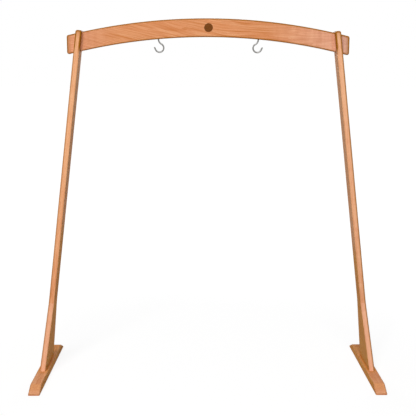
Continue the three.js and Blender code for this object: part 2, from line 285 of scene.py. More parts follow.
def board_rings(places, first, second, radii, land, steps=8):
    """One rounded rectangle for each place along a board, as rings of (place, a, b) points.

    first and second are the lower and upper limits along a and b, and radii the four corner radii,
    from (high, low) anticlockwise. Each corner is a quarter circle. A point on the straight side
    comes before and after it, at most the land away, so that the side itself shades flat."""
    limits = np.array(np.broadcast_arrays(*first, *second, *radii), float)[..., None]
    (low_a, high_a, low_b, high_b), radii = limits[:4], limits[4:]
    sides = [high_a - low_a, high_b - low_b]
    land = np.reshape(land, (-1, 1))
    corners = []
    for i, (sign_a, sign_b) in enumerate(((1, -1), (1, 1), (-1, 1), (-1, -1))):
        start, end = (i - 1) * QUARTER_TURN, i * QUARTER_TURN
        angle = start + np.linspace(0, QUARTER_TURN, steps + 1)
        a = (high_a if sign_a > 0 else low_a) - sign_a * radii[i] + radii[i] * np.cos(angle)
        b = (high_b if sign_b > 0 else low_b) - sign_b * radii[i] + radii[i] * np.sin(angle)
        before = np.minimum(land, (sides[i % 2] - radii[i - 1] - radii[i]) * 0.4)
        after = np.minimum(land, (sides[(i + 1) % 2] - radii[(i + 1) % 4] - radii[i]) * 0.4)
        a = [a[:, :1] + math.sin(start) * before, a, a[:, -1:] - math.sin(end) * after]
        b = [b[:, :1] - math.cos(start) * before, b, b[:, -1:] + math.cos(end) * after]
        corners.append(np.stack([np.hstack(a), np.hstack(b)], -1))
    sections = np.hstack(corners)
    along = np.broadcast_to(places[:, None, None], (*sections.shape[:2], 1))
    return np.concatenate([along, sections], -1)


def rounded_off(radius, to_end):
    """How far a rounded corner of that radius steps back, at a distance from the end: the radius
    less the height of its quarter circle."""
    inside = np.clip(radius - to_end, 0, radius)
    return radius - np.sqrt(radius**2 - inside**2)


def quarter_steps(reach, steps=12):
    """Distances from an end, from 0 up to reach, that lie close together near the end, as the
    points of a quarter circle do."""
    return reach * (1 - np.cos(np.linspace(0, QUARTER_TURN, steps + 1)))


def turned_rings(profile, sides, ripple=None):
    """Rings about Z: a profile of (radius, height) pairs carried round the axis. ripple, if given,
    takes the angles and the profile and returns what to multiply the radius by."""
    radius, height = np.array(profile, float).T[:, :, None]
    angle = np.linspace(0, 2 * math.pi, sides, endpoint=False)[None]
    if ripple:
        radius = radius * ripple(angle, radius, height)
    x, y = radius * np.cos(angle), radius * np.sin(angle)
    return np.stack(np.broadcast_arrays(x, y, height), axis=-1)


def prism_rings(outline, low, high):
    """Two rings of one outline of (x, z) points, at two places along Y, in the order that faces
    outwards."""
    x, z = np.array(outline, float).T
    if np.sum(x * np.roll(z, -1) - np.roll(x, -1) * z) > 0:
        x, z = x[::-1], z[::-1]
    return np.stack([np.stack([x, np.full_like(x, y), z], -1) for y in (low, high)])


def cut(board, shapes):
    """Takes shapes, given by their rings, out of a board."""
    cutters = [piece_from_rings("cutter", rings) for rings in shapes]
    for cutter in cutters:
        modifier = board.modifiers.new("Cut", "BOOLEAN")
        modifier.operation, modifier.solver, modifier.object = "DIFFERENCE", "EXACT", cutter
    evaluated = board.evaluated_get(bpy.context.evaluated_depsgraph_get())
    mesh = bpy.data.meshes.new_from_object(evaluated)
    board.modifiers.clear()
    board.data = mesh
    for cutter in cutters:
        bpy.data.meshes.remove(cutter.data)


# What the materials read from a piece


def rows_of(items, field):
    """A field of all the points or faces of a mesh, as rows of X, Y and Z."""
    values = np.empty(len(items) * 3, np.float32)
    items.foreach_get(field, values)
    return values.reshape(-1, 3).astype(float)


def facing(mesh, way, zero=0.7, one=0.95):
    """How squarely each face looks along a direction, either way: a ramp over the size of its
    normal along it, which as given is 0 about 45 degrees off."""
    return ramp(np.abs(rows_of(mesh.polygons, "normal") @ np.array(way, float)), zero, one)


def write(mesh, domain="POINT", **fields):
    """Keeps numbers or vectors, by their names, as attributes that materials can read."""
    count = len(mesh.vertices if domain == "POINT" else mesh.polygons)
    for name, values in fields.items():
        vectors = np.ndim(values) > 1
        values = np.broadcast_to(values, (count, 3) if vectors else count)
        attribute = mesh.attributes.new(name, "FLOAT_VECTOR" if vectors else "FLOAT", domain)
        flat = np.ascontiguousarray(values, np.float32).ravel()
        attribute.data.foreach_set("vector" if vectors else "value", flat)


def write_arris(mesh, distances, radius, reach, strength, painted_fuller_shade=0.0):
    """Keeps how much painted shade darkens the rounded edge that each point is near: 0 on the
    flats, rising from the reach of the shade to its strength half way to the middle of the round.
    Where the painted shade is fuller, near an end or in a fork's slot, the fuller value given
    counts instead.

    distances holds each point's distance to every outer face. The second smallest is the distance
    to the farther of the two faces that meet: it is the radius where the round starts, and in its
    middle the radius times 1 - cos 45."""
    second = np.partition(np.array(distances), 1, axis=0)[1]
    middle = (1 - math.cos(QUARTER_TURN / 2)) * radius
    risen = ramp(second, reach, (reach + middle) / 2) * strength
    write(mesh, arris=np.maximum(risen, painted_fuller_shade))


def finish_piece(stand, piece, slot, body, replaced, grain, along=None):
    """Shades a piece, keeps its grain coordinates, and puts it in the place of its CAD node.

    grain holds for each point how far it is along the piece and across it. along is the direction
    of the fibres: a face that looks along them is end grain, and one that leans a little towards
    them is a slanting cut."""
    mesh = piece.data
    mesh.shade_smooth()
    mesh.set_sharp_from_angle(angle=math.radians(32))
    write(mesh, grain=grain)
    if along is not None:
        slanting = facing(mesh, along, 0.1, 0.2) * facing(mesh, along, 0.5, 0.4)
        write(mesh, "FACE", end_grain=facing(mesh, along, 0.5, 0.9), slanting_cut=slanting)
    mesh.materials.clear()
    mesh.materials.append(material_of(stand, slot))
    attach(piece, body)
    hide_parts(replaced)


# Layout


def layout(stand):
    """Where the arch meets the leaning centre line of a post. Distances along the post start at the
    top of its foot, and each is where that line crosses a circle about the arch's centre."""
    beam, post, foot = stand.beam, stand.post, stand.foot
    underside_radius = beam.crown_radius - beam.height
    centre_height = beam.crown_height - beam.crown_radius
    rise = foot.thickness - centre_height
    half = rise * math.cos(post.lean) - post.foot_half_spread * math.sin(post.lean)

    def along_to(radius):
        rest = post.foot_half_spread**2 + rise**2 - radius**2
        return math.sqrt(half**2 - rest) - half

    seat = along_to(underside_radius + beam.notch_depth)
    seat_half_spread = post.foot_half_spread - seat * math.sin(post.lean)
    return SimpleNamespace(
        underside_radius=underside_radius,
        centre_height=centre_height,
        flare=post.flare_height / math.cos(post.lean),
        seat=seat,
        tip=along_to(beam.crown_radius) + post.prong_rise,
        beam_half_length=seat_half_spread + beam.end_overhang,
        inlay_height=beam.crown_height - beam.height / 2,
        hook_height=centre_height + math.sqrt(underside_radius**2 - stand.hook.half_spacing**2),
    )


def post_axes(stand, sign):
    """A post's own axes, across it, to the back and along it, and the middle of its foot."""
    sine, cosine = math.sin(stand.post.lean), math.cos(stand.post.lean)
    axes = np.array([(cosine, 0, sign * sine), (0, 1, 0), (-sign * sine, 0, cosine)])
    return axes, (sign * stand.post.foot_half_spread, 0, stand.foot.thickness)


def lean_over(stand, sign, points):
    """Turns points from a post's own upright axes into its leaning place on its foot."""
    axes, base = post_axes(stand, sign)
    return points @ axes + base


def stand_up(stand, sign, points):
    """The opposite of lean_over."""
    axes, base = post_axes(stand, sign)
    return (points - base) @ axes.T


# Crossbeam


def arch_limits(stand, x):
    """Lower and upper edge of the crossbeam at places along X: circles about the arch's centre, and
    beyond where the corners touch them, the circles of the corners."""
    beam, place = stand.beam, layout(stand)
    x = np.abs(x)
    radius = beam.corner_radius
    inset = place.beam_half_length - radius
    corner_rise = np.sqrt(np.clip(radius**2 - (x - inset) ** 2, 0, None))

    def edge(arc_radius, side):
        corner_arc = arc_radius - side * radius
        arc = place.centre_height + np.sqrt(arc_radius**2 - x**2)
        corner = place.centre_height + math.sqrt(corner_arc**2 - inset**2) + side * corner_rise
        return np.where(x > inset * arc_radius / corner_arc, corner, arc)

    return edge(place.underside_radius, -1), edge(beam.crown_radius, 1)


def past_fork(x):
    """0 between the forks and 1 past the right one, at places along X."""
    fork_inside, fork_outside = 0.57, 0.59
    return ramp(x, fork_inside, fork_outside)


def painted_shade_reach(stand, x):
    """How far in from each face painted shade darkens the crossbeam's edges, at places along X:
    over the round and a little of the flat, more to the right, and most past the forks."""
    least, more_right, past_right, past_left = 1.5, 0.25, 0.8, 0.3
    rising = more_right * ramp(x, 0, 0.3)
    rounds = least + rising + past_right * past_fork(x) + past_left * (past_fork(-x) > 0.5)
    return stand.beam.edge_round * rounds


def crossbeam_rings(stand):
    """Rounded rectangles carried along X from end to end, whose height follows the arch and whose
    thickness steps back at the ends."""
    beam, place = stand.beam, layout(stand)
    near_end = place.beam_half_length - quarter_steps(beam.corner_radius)
    middle = np.linspace(near_end[-1], -near_end[-1], 97)[1:-1]
    x = np.concatenate([near_end, middle, -near_end[::-1]])[::-1]
    x = np.pad(x, 1, mode="edge")
    low, high = arch_limits(stand, x)
    half = beam.thickness / 2 - rounded_off(beam.edge_round, place.beam_half_length - np.abs(x))
    inwards = np.zeros_like(x)
    inwards[[0, -1]] = beam.edge_round / 2
    return board_rings(
        x,
        (inwards - half, half - inwards),
        (low + inwards, high - inwards),
        [beam.edge_round - inwards] * 4,
        painted_shade_reach(stand, x) - beam.edge_round,
    )


def notch_rings(stand, sign):
    """The notch over a post: its ceiling lies along the seat, its outer wall leans with the post,
    and its inner wall is plumb, so that the crossbeam lifts straight up off both posts."""
    beam, place, fixing = stand.beam, layout(stand), stand.fixing
    half = stand.post.thickness / 2 + fixing.slip_gap
    ceiling = place.seat + fixing.seat_gap
    below = ceiling - beam.notch_depth - beam.height / 4
    corners = [(-sign * half, ceiling), (sign * half, ceiling), (sign * half, below)]
    leaning = lean_over(stand, sign, np.array([(a, 0, b) for a, b in corners]))
    outline = [(x, z) for x, _, z in leaning]
    outline.append((outline[0][0], outline[2][1]))
    return prism_rings(outline, -beam.thickness, beam.thickness)


def inlay_rings(stand, profile):
    """A profile of (radius, depth) pairs turned about the middle of the crossbeam's front."""
    x, z, deep = np.moveaxis(turned_rings(profile, LARGE_ROUND_SIDES), -1, 0)
    middle = (0, -stand.beam.thickness / 2, layout(stand).inlay_height)
    return np.stack([x, deep, z], -1)[:, ::-1] + middle


def crossbeam_cuts(stand):
    """What is taken out of the crossbeam: its notches, the hooks' holes and the inlay's recess."""
    beam, hook, inlay, gap = stand.beam, stand.hook, stand.inlay, stand.fixing.seat_gap
    bore, recess = hook.wire_diameter / 2 + gap, inlay.diameter / 2 + gap
    hole = [(bore, -beam.height / 4), (bore, hook.screw_length + gap)]
    hole = turned_rings(hole, SMALL_ROUND_SIDES) + (0, 0, layout(stand).hook_height)
    return [
        *[notch_rings(stand, sign) for sign in SIDES.values()],
        *[hole + (sign * hook.half_spacing, 0, 0) for sign in SIDES.values()],
        inlay_rings(stand, [(recess, -beam.thickness), (recess, inlay.depth + gap)]),
    ]


def slanting_grain(x):
    """How far the fibres have come down at a place along X. They run downhill to the right on the
    left half, and level out past the middle: the slope is a logistic curve, and this its sum."""
    steepest, turning_place, turning_length = 0.27, 0.10, 0.08
    levelled = turning_length * np.log1p(np.exp((x - turning_place) / turning_length))
    return steepest * (x - levelled)


# Posts and feet


def post_half_depth(stand, along):
    """Half the width of a post, front to back: it narrows straight up the flare."""
    post = stand.post
    widening = ramp(along, layout(stand).flare, 0) * (post.base_depth - post.depth) / 2
    return post.depth / 2 + widening


def post_rings(stand, sign):
    """Rounded rectangles carried up along a post: the depth narrows straight up the flare, and at
    the tip both the width and the depth step back as rounded corners. The first ring is carried on
    down its own straight lines to the level top of the foot."""
    post, place = stand.post, layout(stand)
    tip_reach = max(post.outer_radius, post.side_radius, post.inner_radius)
    up_flare = np.linspace(0, place.flare, 9)
    up_post = np.linspace(place.flare, place.tip - tip_reach, 41)[1:-1]
    up_tip = place.tip - quarter_steps(tip_reach)[::-1]
    along = np.concatenate([up_flare, up_post, up_tip, up_tip[-1:]])
    inwards = np.zeros_like(along)
    inwards[-1] = post.edge_round / 2
    to_tip = place.tip - along
    half_depth = post_half_depth(stand, along) - rounded_off(post.side_radius, to_tip)
    outer = post.thickness / 2 - rounded_off(post.outer_radius, to_tip)
    inner = post.thickness / 2 - rounded_off(post.inner_radius, to_tip)
    right, left = (outer, inner) if sign > 0 else (inner, outer)
    rings = board_rings(
        along,
        (inwards - left, right - inwards),
        (inwards - half_depth, half_depth - inwards),
        [post.edge_round - inwards] * 4,
        post.edge_round,
    )[..., [1, 2, 0]]
    slope = (rings[1] - rings[0]) / (along[1] - along[0])
    fallen = sign * rings[0, :, :1] * math.sin(post.lean)
    rings[0] += slope * (stand.fixing.seat_gap - fallen) / math.cos(post.lean)
    return lean_over(stand, sign, rings)


def slot_rings(stand, sign):
    """The slot between a post's prongs, which the crossbeam drops into. Known fault: the outline
    runs clockwise, so its faces look inwards, and the cut leaves the slot filled."""
    half = stand.beam.thickness / 2 + stand.fixing.slip_gap
    side, seat, top = stand.post.depth, layout(stand).seat, layout(stand).tip + stand.post.depth
    outline = [(side, -half), (-side, -half), (-side, half), (side, half)]
    rings = np.stack([np.column_stack([outline, np.full(4, along)]) for along in (seat, top)])
    return lean_over(stand, sign, rings)


def joint_cuts(stand, sign):
    """The holes for the dowels and screws between a foot and its post."""
    fixing, gap = stand.fixing, stand.fixing.seat_gap
    dowel = fixing.dowel_diameter / 2 + gap
    screw = fixing.screw_diameter / 2 + gap
    head = fixing.head_diameter / 2 + fixing.slip_gap
    dowel_hole = [(dowel, -fixing.dowel_in_foot - gap), (dowel, fixing.dowel_in_post + gap)]
    screw_hole = [
        (head, -2 * stand.foot.thickness),
        (head, -fixing.head_recess),
        (screw, -fixing.head_recess),
        (screw, fixing.screw_in_post + gap),
    ]
    holes = ((fixing.dowel_half_spacing, dowel_hole), (fixing.screw_half_spacing, screw_hole))
    return [
        lean_over(stand, sign, turned_rings(profile, SMALL_ROUND_SIDES) + (0, way * spacing, 0))
        for way in (-1, 1)
        for spacing, profile in holes
    ]


def foot_top(foot, y):
    """Height of a foot's top at places along Y, and how far up the bevel that is, from 0 at the toe
    to 1: the top is level, and falls straight down each bevel."""
    up_bevel = ramp(foot.length / 2 - np.abs(y), 0, foot.bevel_length)
    return foot.toe_height + (foot.thickness - foot.toe_height) * up_bevel, up_bevel


def foot_rings(stand, sign):
    """Rounded rectangles carried along Y: full height in the middle, falling straight down each
    bevel to the toe, and stepping back in width at the ends. The rounding of the upper edges gets
    smaller down the bevels, which were sawn after the board was rounded over."""
    foot = stand.foot
    half_length = foot.length / 2
    bevel = np.linspace(foot.edge_round, foot.bevel_length, 9)[1:]
    to_end = np.concatenate([quarter_steps(foot.edge_round), bevel])
    middle = np.linspace(foot.bevel_length - half_length, half_length - foot.bevel_length, 41)[1:-1]
    y = np.concatenate([to_end - half_length, middle, half_length - to_end[::-1]])
    y = np.pad(y, 1, mode="edge")
    top, up_bevel = foot_top(foot, y)
    half = foot.width / 2 - rounded_off(foot.edge_round, half_length - np.abs(y))
    sharpest = 0.4
    upper = foot.edge_round * (sharpest + (1 - sharpest) * up_bevel)
    upper = np.minimum(upper, 0.75 * top)
    inwards = np.zeros_like(y)
    inwards[[0, -1]] = foot.sole_round / 2
    rings = board_rings(
        y,
        (inwards, top - inwards),
        (inwards - half, half - inwards),
        [upper, upper, foot.sole_round, foot.sole_round],
        foot.edge_round / 2,
    )[..., [2, 0, 1]]
    return rings + (sign * stand.post.foot_half_spread, 0, 0)


# Hooks, screws and dowels


def thread(angle, height, pitch, core, crest):
    """Radius of a thread: one ridge climbs a pitch each turn, from the core to the crest. The ridge
    is a triangle that takes up half of the pitch."""
    phase = (angle / (2 * math.pi) + height / pitch) % 1.0
    return core + (crest - core) * np.clip(1 - np.abs(phase - 0.5) * 4, 0, 1)


def hook_line(hook):
    """Centre line of the hook that opens to the left, from the top of its screw to its tip: points
    and directions in X and Z. A straight screw and shank, a neck that turns one way, a bowl that
    meets it on a common tangent and turns the other way, and a straight tip."""
    both = hook.neck_radius + hook.bowl_radius
    meeting = math.acos((hook.neck_radius - hook.bowl_offset) / both)
    neck_start = both * math.sin(meeting) - hook.bowl_drop
    screw_end = hook.wire_diameter / 2
    screw = np.arange(hook.screw_length, screw_end, -hook.thread_pitch / THREAD_RINGS)
    heights = np.concatenate([screw, np.linspace(screw_end, neck_start, 8)[:-1]])
    shank = np.stack([np.zeros_like(heights), heights], -1)
    neck_turn = np.linspace(math.pi, math.pi + meeting, 24)
    bowl_turn = np.linspace(meeting, hook.bowl_end - 2 * math.pi, 96)[1:]
    neck = np.stack([np.cos(neck_turn), np.sin(neck_turn)], -1)
    bowl = np.stack([np.cos(bowl_turn), np.sin(bowl_turn)], -1)
    neck_way, bowl_way = neck[:, ::-1] * (-1, 1), bowl[:, ::-1] * (1, -1)
    neck = neck * hook.neck_radius + (hook.neck_radius, neck_start)
    bowl = bowl * hook.bowl_radius + (hook.bowl_offset, -hook.bowl_drop)
    tip = bowl[-1] + np.linspace(0, hook.tip_length, 8)[1:, None] * bowl_way[-1]
    down, ahead = np.tile((0.0, -1.0), (len(shank), 1)), np.tile(bowl_way[-1], (len(tip), 1))
    points = np.concatenate([shank, neck, bowl, tip])
    return points, np.concatenate([down, neck_way, bowl_way, ahead])


def hook_rings(stand, sign):
    """A circle carried along the hook's centre line, with each point's place along and round the
    wire. On the screw its radius follows the thread and runs out to a point, and at the tip it
    closes as a half ball. The right hook is the left one turned half round."""
    hook = stand.hook
    points, ways = hook_line(hook)
    wire = hook.wire_diameter / 2
    dome = np.linspace(0, QUARTER_TURN, 9)[1:-1]
    points = np.concatenate([points, points[-1] + wire * np.sin(dome)[:, None] * ways[-1]])
    closing = np.concatenate([np.ones(len(ways)), np.cos(dome)])
    ways = np.concatenate([ways, np.tile(ways[-1], (len(dome), 1))])
    angle = np.linspace(0, 2 * math.pi, SMALL_ROUND_SIDES, endpoint=False)[None]
    height = points[:, 1:]
    ridge = thread(angle, height, hook.thread_pitch, hook.core_diameter / 2, wire)
    pointed = np.clip((hook.screw_length - height) / hook.point_length, 0.04, 1)
    radius = np.where(height > wire, ridge * pointed, wire * closing[:, None])
    out, back = radius * np.cos(angle), radius * np.sin(angle)
    rings = np.stack([points[:, :1] + out * ways[:, 1:], back, height - out * ways[:, :1]], -1)
    travelled = np.concatenate([[0], np.cumsum(np.linalg.norm(np.diff(points, axis=0), axis=1))])
    grain = np.stack(np.broadcast_arrays(travelled[:, None], out, back), -1)
    place = (sign * hook.half_spacing, 0, layout(stand).hook_height)
    return rings * (-sign, -sign, 1) + place, grain.reshape(-1, 3)


def dowel_rings(fixing):
    """A fluted dowel: a chamfered profile whose radius dips in a row of narrow flutes."""
    radius, chamfer = fixing.dowel_diameter / 2, fixing.dowel_chamfer
    low, high = -fixing.dowel_in_foot, fixing.dowel_in_post
    in_foot = [(radius / 2, low), (radius - chamfer, low), (radius, low + chamfer)]
    in_post = [(radius, high - chamfer), (radius - chamfer, high), (radius / 2, high)]

    def flutes(angle, at_radius, _height):
        dip = np.clip(np.cos(fixing.flutes * angle), 0, 1) ** 2
        return 1 - dip * fixing.flute_depth / radius * (at_radius > radius * 0.9)

    return turned_rings(in_foot + in_post, 8 * fixing.flutes, flutes)


def screw_rings(fixing):
    """A pan-head wood screw: a six-lobed socket, a rounded head, a plain neck, and a thread that
    runs out to a point. The profile starts on the floor of the socket, which is a shallow cone."""
    shank, core = fixing.screw_diameter / 2, fixing.screw_core / 2
    head, edge, socket = fixing.head_diameter / 2, fixing.head_round, fixing.socket_diameter / 2
    under_head = -fixing.head_recess - fixing.seat_gap
    face = under_head - fixing.head_height
    bend = np.linspace(0, QUARTER_TURN, 7)
    rounded = np.stack([head - edge + edge * np.sin(bend), face + edge - edge * np.cos(bend)], -1)
    thread_start = under_head + 4 * fixing.thread_pitch
    step = fixing.thread_pitch / THREAD_RINGS
    profile = [
        (socket * 0.2, face + fixing.socket_depth * 1.15),
        (socket * 0.8, face + fixing.socket_depth),
        (socket, face + 0.1 * fixing.socket_depth),
        (socket * 1.12, face),
        *rounded.tolist(),
        (head, under_head),
        (shank, under_head),
        (shank, thread_start - step),
        *[(shank, height) for height in np.arange(thread_start, fixing.screw_in_post, step)],
        (core * 0.05, fixing.screw_in_post),
    ]

    def shape(angle, at_radius, height):
        lobes = 1 + 0.13 * np.cos(6 * angle) * (at_radius < socket * 1.05)
        to_point = np.clip((fixing.screw_in_post - height) / fixing.screw_tip, 0.02, 1)
        ridge = thread(angle, -height, fixing.thread_pitch, core, shank) / shank * to_point
        return np.where(height >= thread_start, np.where(at_radius > core, ridge, 1), lobes)

    return turned_rings(profile, 36, shape)


# Materials


def add_node(tree, kind, inputs=(), stops=(), **settings):
    """Adds a shader node with its settings. inputs gives the sockets in use in order, or by name,
    each with its value, or with the node or output that feeds it. stops are a colour ramp's places
    and colours."""
    node = tree.nodes.new("ShaderNode" + kind)
    for name, value in settings.items():
        setattr(node, name, value)
    sockets = [socket for socket in node.inputs if socket.enabled]
    if isinstance(inputs, dict):
        names = [socket.name for socket in sockets]
        sockets, inputs = [sockets[names.index(name)] for name in inputs], inputs.values()
    for socket, value in zip(sockets, inputs):
        if isinstance(value, bpy.types.Node):
            value = next(output for output in value.outputs if output.enabled)
        if isinstance(value, bpy.types.NodeSocket):
            tree.links.new(value, socket)
        else:
            socket.default_value = value
    if stops:
        elements = node.color_ramp.elements
        while len(elements) < len(stops):
            elements.new(1.0)
        for element, (position, tone) in zip(elements, stops):
            element.position, element.color = position, tone
    return node


def empty_material(name):
    """A material with no nodes, and what adds nodes to it."""
    material = bpy.data.materials.new(name)
    material.use_nodes = True
    material.node_tree.nodes.clear()
    return material, partial(add_node, material.node_tree)


def grain_scale(along, across):
    """Scale of a pattern whose grains have these lengths in millimetres."""
    return (1 / (along * MM), 1 / (across * MM), 1 / (across * MM))


def soft_grains(add, place, *sizes):
    """Patterns of soft grains. Each is given by the grains' length and width in millimetres, and by
    how many finer layers lie over them."""
    for along, across, layers in sizes:
        scaled = add("Mapping", {"Vector": place, "Scale": grain_scale(along, across)})
        grains = add("TexNoise", {"Vector": scaled, "Scale": 1.0, "Detail": layers})
        yield grains.outputs["Fac"]


def grey(value):
    """A grey of that linear value."""
    return (value, value, value, 1.0)


def make_beech(name, wood, tones, arris, fleck, roughness):
    """Beech, planed and sanded. It has narrow growth rings with a darker late edge, long soft
    streaks, and short dark ray flecks all over, which tell it from other pale woods. Oil darkens
    the end grain and leaves a satin sheen, and painted shade darkens the rounded edges."""
    material, add = empty_material(name)
    place = add("Attribute", attribute_name="grain").outputs["Vector"]
    marks = ("arris", "end_grain", "slanting_cut", "paler", "pinker", "duller", "golden")
    rounded, ends, slants, paler, pinker, duller, golden = (
        add("Attribute", attribute_name=mark).outputs["Fac"] for mark in marks
    )

    # The trunk wasn't straight: the rings wander by some millimetres over a third of a metre. Real
    # rings are about half as wide as they are drawn, and too fine to be seen from in front.
    wide = add("Mapping", {"Vector": place, "Scale": grain_scale(320, 90)})
    wander = add("TexNoise", {"Vector": wide, "Scale": 1.0, "Detail": 2.0}).outputs["Color"]
    centred = add("VectorMath", (wander, (0.5, 0.5, 0.5)), operation="SUBTRACT")
    push = add("VectorMath", (centred, (0.0, 0.03, 0.03)), operation="MULTIPLY")
    bent = add("VectorMath", (place, push), operation="ADD")
    # One wave is one year's ring about the pith, which lies along the grain.
    wave = {
        "Vector": bent,
        "Scale": 2 * math.pi / 20 / wood.ring_width,
        "Distortion": 1.6,
        "Detail": 3.0,
        "Detail Scale": 0.25,
        "Detail Roughness": 0.6,
    }
    about_pith = {"wave_type": "RINGS", "rings_direction": "X", "wave_profile": "SAW"}
    rings = add("TexWave", wave, **about_pith).outputs["Fac"]
    late = add("Math", (rings, 2.2), operation="POWER")
    # Years of fast and slow growth make bands about 14 mm wide. Streaks are 4 mm wide and 110 mm
    # long, and fibres and pores 0.4 mm wide and 7 mm long.
    bands, streaks = soft_grains(add, bent, (600, 14, 2), (110, 4, 4))
    # Ripples from the planer cross the board about 20 mm apart, and it is a little redder in some
    # places than in others, over a hand's width.
    fibres, ripples, warmth = soft_grains(add, place, (7, 0.4, 3), (20, 150, 1), (250, 60, 1))
    # Ray flecks are spindles 3 mm long and 0.8 mm wide, in two of five cells.
    cell_place = add("Mapping", {"Vector": place, "Scale": grain_scale(6, 1.6)})
    cells = add("TexVoronoi", {"Vector": cell_place, "Scale": 1.0}).outputs
    lot = add("SeparateColor", (cells["Color"],))
    spindles = add("Math", (cells["Distance"], 0.3), operation="LESS_THAN")
    chosen = add("Math", (lot, 0.42), operation="LESS_THAN")
    flecks = add("Math", (spindles, chosen), operation="MULTIPLY")

    # The figure is 0 in the palest wood and 1 in the deepest. The ripples show where it is pinker.
    rippled = add("Math", (ripples, 1.2, -0.42), operation="MULTIPLY_ADD")
    figure = add("Math", (-0.62, paler), operation="SUBTRACT")
    strengths = ((bands, 0.5), (late, 0.3), (streaks, 1.35), (fibres, 0.24), (rippled, pinker))
    for pattern, strength in strengths:
        figure = add("Math", (pattern, strength, figure), operation="MULTIPLY_ADD")
    tone = add("ValToRGB", (figure,), tuple(zip((0.0, 0.45, 1.0), tones)))
    pink_share, slant_share, fleck_share = (
        add("Math", (mark, strength), operation="MULTIPLY")
        for mark, strength in ((pinker, 0.35), (slants, 0.5), (flecks, wood.fleck_share))
    )
    # The painted shade on the rounded edges varies with the streaks.
    uneven = add("Math", (streaks, 0.9, 0.58), operation="MULTIPLY_ADD", use_clamp=True)
    edge_shade_share = add("Math", (rounded, uneven), operation="MULTIPLY")
    layers = (
        (warmth, colour("#FFEFE4"), "MULTIPLY"),
        (pink_share, wood.pink, "MIX"),
        # Where a board is duller and greyer: the middle of the crossbeam, more past its right fork,
        # and the top of the right foot.
        (duller, colour("#F0F3F6"), "MULTIPLY"),
        # Painted golden shade, on the shaded sides of the boards.
        (golden, wood.golden, "MULTIPLY"),
        (fleck_share, fleck, "MIX"),
        # A cut that slants across the fibres is fuzzier than a planed face, so paler and pinker.
        (slant_share, wood.slant, "MIX"),
        (ends, colour("#E8D4C4"), "MULTIPLY"),
        # Painted shade covers the whole round, and fades onto the flat beside it.
        (edge_shade_share, arris, "MIX"),
    )
    for factor, over, blend in layers:
        mix = {"Factor": factor, "A": tone, "B": over}
        tone = add("Mix", mix, data_type="RGBA", blend_type=blend)

    rough = roughness - 0.08
    for mark, change in ((fibres, 0.16), (rounded, -0.08), (ends, 0.12)):
        rough = add("Math", (mark, change, rough), operation="MULTIPLY_ADD")
    relief = add("Math", (fibres, 0.6, streaks), operation="MULTIPLY_ADD")
    bump = add("Bump", {"Height": relief, "Strength": 0.25, "Distance": 0.2 * MM})
    look = {"Base Color": tone, "Roughness": rough, "Normal": bump, "Specular IOR Level": 0.05}
    add("OutputMaterial", {"Surface": add("BsdfPrincipled", look)})
    return material


def make_walnut(name, wood):
    """Walnut, turned and sanded flush. Dark open pores run in short lines through brown and nearly
    black streaks, which gives the plain disc life."""
    material, add = empty_material(name)
    place = add("Attribute", attribute_name="grain").outputs["Vector"]
    # Streaks are 1.6 mm wide and 40 mm long, and pores 0.3 mm wide and 3 mm long.
    streaks, pores = soft_grains(add, place, (40, 1.6, 3), (3, 0.3, 2))
    streaked = add("Math", (streaks, 2.4, -0.7), operation="MULTIPLY_ADD", use_clamp=True)
    shades = {"Factor": streaked, "A": wood.walnut_dark, "B": wood.walnut}
    tone = add("Mix", shades, data_type="RGBA")
    open_pore = add("Math", (pores, 6.0, -3.6), operation="MULTIPLY_ADD", use_clamp=True)
    pored = {"Factor": open_pore, "A": tone, "B": colour("#2A170B")}
    tone = add("Mix", pored, data_type="RGBA")
    hollow = {"Height": open_pore, "Strength": 0.4, "Distance": 0.1 * MM}
    bump = add("Bump", hollow, invert=True)
    rough = add("Math", (open_pore, 0.25, 0.42), operation="MULTIPLY_ADD")
    look = {"Base Color": tone, "Roughness": rough, "Normal": bump, "Specular IOR Level": 0.1}
    add("OutputMaterial", {"Surface": add("BsdfPrincipled", look)})
    return material


def make_zinc(name, tone, roughness):
    """Steel that was drawn or rolled and then zinc plated. The plating is a soft grey with cloudy
    patches, and fine lines from the die run along the wire."""
    material, add = empty_material(name)
    place = add("Attribute", attribute_name="grain").outputs["Vector"]
    # Clouds of the plating are about 5 mm across, and die lines 0.2 mm wide and 12 mm long.
    clouds, lines = soft_grains(add, place, (6, 4, 3), (12, 0.2, 2))
    clouded = add("Math", (clouds, 0.8, 0.45), operation="MULTIPLY_ADD", use_clamp=True)
    plating = {"Factor": clouded, "A": grey(0.0), "B": tone}
    plated = add("Mix", plating, data_type="RGBA")
    rough = add("Math", (clouds, 0.2, roughness - 0.1), operation="MULTIPLY_ADD")
    bump = add("Bump", {"Height": lines, "Strength": 0.12, "Distance": 0.05 * MM})
    look = {"Base Color": plated, "Metallic": 1.0, "Roughness": rough, "Normal": bump}
    add("OutputMaterial", {"Surface": add("BsdfPrincipled", look)})
    return material


def material_of(stand, slot):
    """The material of one of the record's slots, made when a piece first asks for it."""
    wood, metal = stand.wood, stand.metal
    steamed = (wood.pale, wood.middle, wood.deep), wood.arris, wood.fleck
    white = (colour("#E6C79E"), wood.bare, colour("#C79C6B")), wood.bare, colour("#B08455")
    make, name, *settings = {
        # Steamed beech is pinkish. The boards are planed, rounded over and oiled.
        "oiled_beech": (make_beech, "Steamed beech, planed and oiled", wood, *steamed, 0.6),
        # White beech without oil is paler and duller, as it came from the dowel plate.
        "plain_beech": (make_beech, "White beech, milled dowel", wood, *white, 0.72),
        "walnut": (make_walnut, "Walnut, turned and oiled", wood),
        "zinc_plated_wire": (make_zinc, "Drawn wire, zinc plated", metal.wire, 0.42),
        "screw_steel": (make_zinc, "Rolled screw, zinc plated", metal.screw, 0.38),
    }[slot]
    return bpy.data.materials.get(name) or make(name, *settings)


def add_seen(add):
    """Adds what is 1 where the camera, a reflection or a clear pane looks, and 0 elsewhere."""
    path = add("LightPath").outputs
    seen = add("Math", (path["Is Camera Ray"], path["Is Glossy Ray"]), operation="MAXIMUM")
    return add("Math", (seen, path["Is Transmission Ray"]), operation="MAXIMUM")


